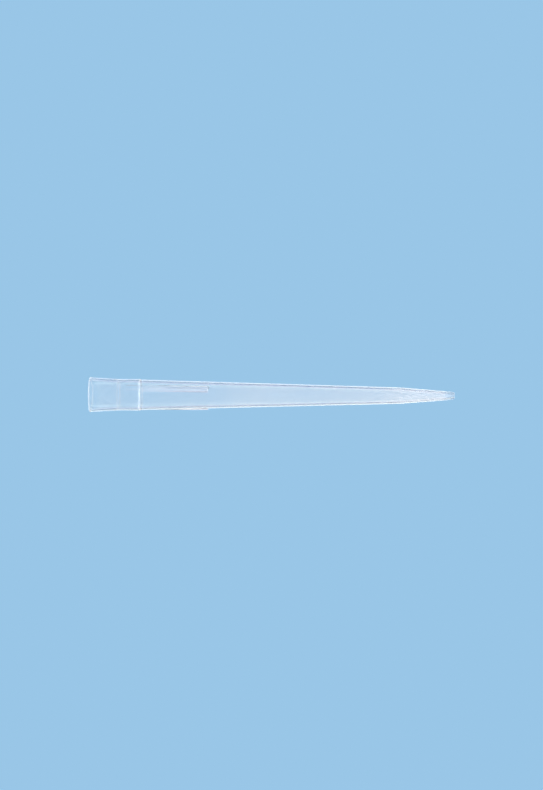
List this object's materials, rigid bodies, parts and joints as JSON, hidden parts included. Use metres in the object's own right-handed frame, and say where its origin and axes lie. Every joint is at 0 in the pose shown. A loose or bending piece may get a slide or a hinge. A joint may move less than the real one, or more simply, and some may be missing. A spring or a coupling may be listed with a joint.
{
  "type": "pipette tip",
  "caption": "Long slender translucent pipette tip: a flared collar with a socket, short rack ribs under its shoulder, a tapered body and a fine open point.",
  "frame": {"origin": "centre of the mouth rim's flat face, which the tip stands on", "axes": "+Z along the tip's axis from the mouth to the point; +X through the middle of one rack rib"},
  "size_m": [0.0088, 0.0088, 0.094],
  "materials": {
    "polypropylene": "natural uncoloured polypropylene, translucent and slightly milky, smooth as moulded"
  },
  "bodies": {
    "root": {"pipette_tip": "polypropylene"}
  },
  "joints": []
}
